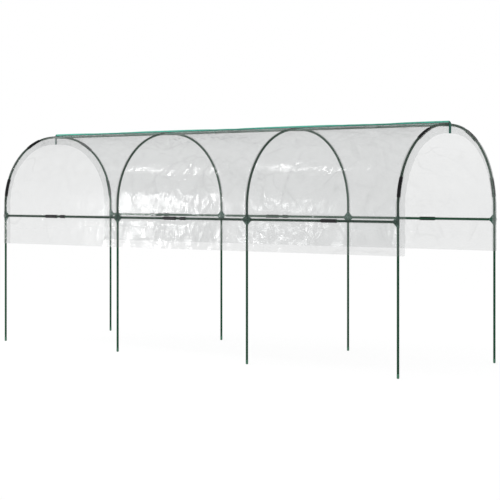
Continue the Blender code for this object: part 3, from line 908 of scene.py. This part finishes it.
def cover_mesh(name, side, settings, seed):
    """One side of the cover as a fine sheet: hem, wall, roof, seam and the lips at both ends."""
    section = Section(side, FILM_OUT - FILM_INSET)
    runs = stations(0.0, section.seam, [section.rail], settings)
    rows = [(run, 0.0) for run in runs] + [(section.seam, up) for up in (0.003, 0.007, UPTURN)]
    columns = film_columns(settings)
    wide = columns.shape[1]
    run, stand = (np.repeat(values, wide) for values in zip(*rows))
    x, depth, facing = np.tile(columns, len(rows))
    y, z, out_y, out_z, angle = section.point(run)

    taut = 0.1 + 0.9 * smoothstep(from_hoop(x) / 0.09)
    taut = np.where(np.abs(x) > HOOP_X[-1], 0.0, taut)
    folds = add_folds(section, x, run, seed) * np.where(run > section.rail + 0.03, taut, 1.0)
    folds *= np.where(x < HOOP_X[1], 0.45, 1.0)
    height = film_height(section, x, run, angle, settings, seed) + folds
    tents = tent_level(section, x, run, settings) - section.offset
    height += tents * smoothstep((section.seam - run) / 0.08)
    height *= smoothstep((section.seam - run) / 0.03)
    height = press_down(section, x, run, height, settings)
    height = keep_clear(section, x, run, height)

    reach_in = smoothstep(depth / LIP_WIDTH)
    spots = np.stack([np.sign(x) * 4.0, run, depth * 0.35], axis=1)
    pleats = field(spots, 22.0, seed + 8, 2) + 0.7 * np.abs(field(spots, 48.0, seed + 9))
    curl = settings.lip_pleat * (pleats - 0.3) * reach_in
    lean = np.tile([seam_lean(place, settings) for place in columns[0]], len(rows))
    push = np.cos(facing) * height + stand * np.cos(lean)
    sideways = np.sin(facing) * (np.clip(height, -0.004, 0.004) + stand)
    points = np.stack([
        x + sideways + np.sign(x) * curl * (np.abs(facing) > 1.5),
        y + out_y * (push - depth) - stand * np.sin(lean),
        z + out_z * (push - depth)], axis=1)
    corners = [row * wide + k for row in range(len(rows) - 1) for k in range(wide - 1)]
    faces = [(a, a + 1, a + wide + 1, a + wide) for a in corners]
    mesh = bpy.data.meshes.new(name)
    mesh.from_pydata(points.tolist(), [], faces)
    mesh.shade_smooth()
    # Painted shade for the film, kept on its points for the material.
    lost = painted_film_shade(section, x, run, depth, folds, settings, seed)
    shade = mesh.attributes.new("shade", "FLOAT", "POINT")
    shade.data.foreach_set("value", lost.astype(np.float32))
    return mesh


def make_cover(settings):
    film = clear_film(settings)
    for seed, (side_name, side) in enumerate(SIDES.items(), start=1):
        name = f"cover_{side_name}"
        mesh = cover_mesh(name, side, settings, seed * 10)
        nodes = [f"film_{side_name}", f"skirt_{side_name}"]
        cover = add_piece(name, mesh, film, None, nodes)
        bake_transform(cover)


# Ridge tape


def tape_frames(settings):
    """Stations along the tape: x and z on the seam, and how far the tape leans along X."""
    end = FILM_END
    corner = settings.corner
    roof_z = RIDGE_Z + FILM_OUT
    left = [(-end, z, -math.pi / 2) for z in np.linspace(TAPE_FOOT, roof_z - corner, 10)]
    left += [(corner - end - corner * math.cos(a), roof_z - corner + corner * math.sin(a), a - math.pi / 2)
             for a in np.linspace(0.0, math.pi / 2, 9)[1:]]
    roof = [(x, roof_z, 0.0) for x in np.linspace(corner - end, end - corner, 260)[1:-1]]
    return left + roof + [(-x, z, -lean) for x, z, lean in left[::-1]]


def make_ridge_tape(settings):
    """The folded tape as a closed section carried over the ridge and down over both lips."""
    tall = TAPE_TOP - RIDGE_Z - FILM_OUT
    half = extent("ridge_binding").y / 2
    wall = 0.0007
    low = settings.tape_start
    section = [(-half, low)] + arc((0.0, tall - half), half, 180.0, 0.0, 6) + [(half, low)]
    thin = half - wall
    roof = tall - half - wall * 0.5
    section += [(thin, low), (thin, roof), (-thin, roof), (-thin, low)]
    frames = []
    for x, z, lean in tape_frames(settings):
        tip = seam_lean(x, settings)
        hanging = abs(math.sin(lean))
        deeper = 1.0 + hanging * low / (tall - low)
        up = Vector((math.sin(lean), 0.0, math.cos(lean)))
        side = Vector((0.0, 1.0, 0.0))
        outward = up * math.cos(tip) - side * math.sin(tip)
        across = side * math.cos(tip) + up * math.sin(tip)
        centre = Vector((x, SEAM_Y, z)) - outward * hanging * deeper * low
        frames.append((centre, across * (1.0 + settings.tape_open * hanging), outward * deeper))
    mesh = sweep("ridge_tape", section, frames)
    add_piece("ridge_tape", mesh, woven_tape(settings), "frame", ["ridge_binding"])


# Stage


def world_light(settings):
    """Even light, with plain white behind for the camera and a dimmer ceiling in reflections."""
    tree = Tree("studio", "worlds", "ShaderNodeOutputWorld")
    white = (1.0, 1.0, 1.0)
    path = tree.add("ShaderNodeLightPath").outputs
    seen = tree.compute("MAXIMUM", path["Is Camera Ray"], path["Is Transmission Ray"])
    direction = tree.add("ShaderNodeTexCoord").outputs["Generated"]
    height = tree.add("ShaderNodeSeparateXYZ", {0: direction}).outputs["Z"]
    even = tree.add("ShaderNodeBackground", {"Color": white, "Strength": settings.ambient})
    room = tree.add("ShaderNodeBackground", {"Strength": tree.ranged(height, 0.10, 0.50, 1.0, settings.sky)})
    backdrop = tree.add("ShaderNodeBackground", {"Color": white})
    lit_or_mirrored = tree.mix(path["Is Glossy Ray"], even, room)
    bpy.context.scene.world = tree.finish(tree.mix(seen, lit_or_mirrored, backdrop))


def white_floor(settings):
    """A pale floor: part of its white is lit, so that the shadow shows, and the rest is its own."""
    tree = Tree("pale_floor")
    lit = tree.add("ShaderNodeBsdfDiffuse", {"Color": (settings.floor_lit,) * 3})
    glow = tree.add("ShaderNodeEmission", {"Color": (1.0, 1.0, 1.0), "Strength": 1.0 - settings.floor_lit})
    path = tree.add("ShaderNodeLightPath").outputs
    seen = tree.compute("MAXIMUM", path["Is Camera Ray"], path["Is Glossy Ray"])
    shown = tree.compute("MAXIMUM", seen, path["Is Transmission Ray"])
    both = tree.add("ShaderNodeAddShader", {0: lit, 1: glow})
    plain = tree.add("ShaderNodeBsdfDiffuse", {"Color": (0.8, 0.8, 0.8)})
    return tree.finish(tree.mix(shown, plain, both))


def add_lamp(name, kind, energy, location, target, size):
    """A lamp aimed at a target. Size is the sun's angle, or a softbox's width and height."""
    lamp = bpy.data.lights.new(name, kind)
    lamp.energy = energy
    if kind == "AREA":
        lamp.shape = "RECTANGLE"
        lamp.size, lamp.size_y = size
    else:
        lamp.angle = size
    shape = put_in_scene(name, lamp)
    shape.location = location
    aim = Vector(target) - Vector(location)
    shape.rotation_euler = aim.to_track_quat("-Z", "Y").to_euler()


def make_stage(settings):
    scene = bpy.context.scene
    scene.view_settings.view_transform = "Standard"
    half = settings.floor_size / 2
    bm = bmesh.new()
    bm.faces.new([bm.verts.new((x * half, y * half, 0.0)) for x, y in ((-1, -1), (1, -1), (1, 1), (-1, 1))])
    floor = put_in_scene("floor", smooth_mesh(bm, "floor"))
    floor.data.materials.append(white_floor(settings))
    world_light(settings)
    add_lamp("sun", "SUN", settings.sun, (1.0, -2.0, 8.0), (0.0, 0.0, 0.8), math.radians(50.0))
    add_lamp("softbox_left", "AREA", settings.softbox, (-4.3, -4.75, 1.60), (-0.3, -0.6, 1.60), (0.75, 2.1))
    for number, x in enumerate((-3.8, -1.8), start=1):
        add_lamp(f"softbox_top_{number}", "AREA", 0.16 * settings.softbox, (x, -2.4, 4.5),
                 (x + 3.3, -0.5, 1.3), (0.4, 0.6))
    camera = bpy.data.cameras.new("camera")
    camera.lens = settings.lens
    camera.sensor_width = 36.0
    camera.shift_y = settings.rise
    scene.camera = put_in_scene("camera", camera)
    scene.camera.location = settings.camera_place
    scene.camera.rotation_euler = (math.pi / 2, 0.0, settings.camera_heading)


# Operators


class GREENHOUSE_OT_stage(Operator):
    """Make the floor, the light and the camera"""

    bl_idname = "greenhouse.stage"
    bl_label = "Stage"

    def execute(self, context):
        make_stage(context.scene.greenhouse_stage)
        return {"FINISHED"}


class GREENHOUSE_OT_tubes(Operator):
    """Make the legs, arches and rails"""

    bl_idname = "greenhouse.tubes"
    bl_label = "Tubes"

    def execute(self, context):
        make_tubes(context.scene.greenhouse_frame)
        return {"FINISHED"}


class GREENHOUSE_OT_foot_caps(Operator):
    """Make the caps on the legs' lower ends"""

    bl_idname = "greenhouse.foot_caps"
    bl_label = "Foot Caps"

    def execute(self, context):
        make_foot_caps(context.scene.greenhouse_frame)
        return {"FINISHED"}


class GREENHOUSE_OT_fittings(Operator):
    """Make the moulded fittings at the rails and the ridge"""

    bl_idname = "greenhouse.fittings"
    bl_label = "Fittings"

    def execute(self, context):
        make_fittings(context.scene.greenhouse_frame)
        return {"FINISHED"}


class GREENHOUSE_OT_clips(Operator):
    """Make the snap clips that hold the film"""

    bl_idname = "greenhouse.clips"
    bl_label = "Snap Clips"

    def execute(self, context):
        make_clips(context.scene.greenhouse_frame)
        return {"FINISHED"}


class GREENHOUSE_OT_ridge_tape(Operator):
    """Make the tape that binds the film along the ridge"""

    bl_idname = "greenhouse.ridge_tape"
    bl_label = "Ridge Tape"

    def execute(self, context):
        make_ridge_tape(context.scene.greenhouse_cover)
        return {"FINISHED"}


class GREENHOUSE_OT_cover(Operator):
    """Make the two sheets of clear film"""

    bl_idname = "greenhouse.cover"
    bl_label = "Film Cover"

    def execute(self, context):
        make_cover(context.scene.greenhouse_cover)
        return {"FINISHED"}


STEPS = (GREENHOUSE_OT_stage, GREENHOUSE_OT_tubes, GREENHOUSE_OT_foot_caps, GREENHOUSE_OT_fittings,
         GREENHOUSE_OT_clips, GREENHOUSE_OT_ridge_tape, GREENHOUSE_OT_cover)
GROUPS = {"greenhouse_frame": FrameSettings, "greenhouse_cover": CoverSettings,
          "greenhouse_stage": StageSettings}


class GREENHOUSE_PT_sidebar(Panel):
    """Lists the steps of the greenhouse and their settings"""

    bl_idname = "GREENHOUSE_PT_sidebar"
    bl_label = "Tomato Greenhouse"
    bl_space_type = "VIEW_3D"
    bl_region_type = "UI"
    bl_category = "Greenhouse"

    def draw(self, context):
        column = self.layout.column(align=True)
        for step in STEPS:
            column.operator(step.bl_idname)
        for name, group in GROUPS.items():
            box = self.layout.box()
            settings = getattr(context.scene, name)
            for key in group.__annotations__:
                box.prop(settings, key)


def register():
    for group in (*GROUPS.values(), *STEPS, GREENHOUSE_PT_sidebar):
        bpy.utils.register_class(group)
    for name, group in GROUPS.items():
        setattr(bpy.types.Scene, name, PointerProperty(type=group))


def unregister():
    for name in GROUPS:
        delattr(bpy.types.Scene, name)
    for group in (GREENHOUSE_PT_sidebar, *STEPS[::-1], *GROUPS.values()):
        bpy.utils.unregister_class(group)


def main():
    register()
    for step in STEPS:
        group, action = step.bl_idname.split(".")
        getattr(getattr(bpy.ops, group), action)()


if __name__ == "__main__":
    main()
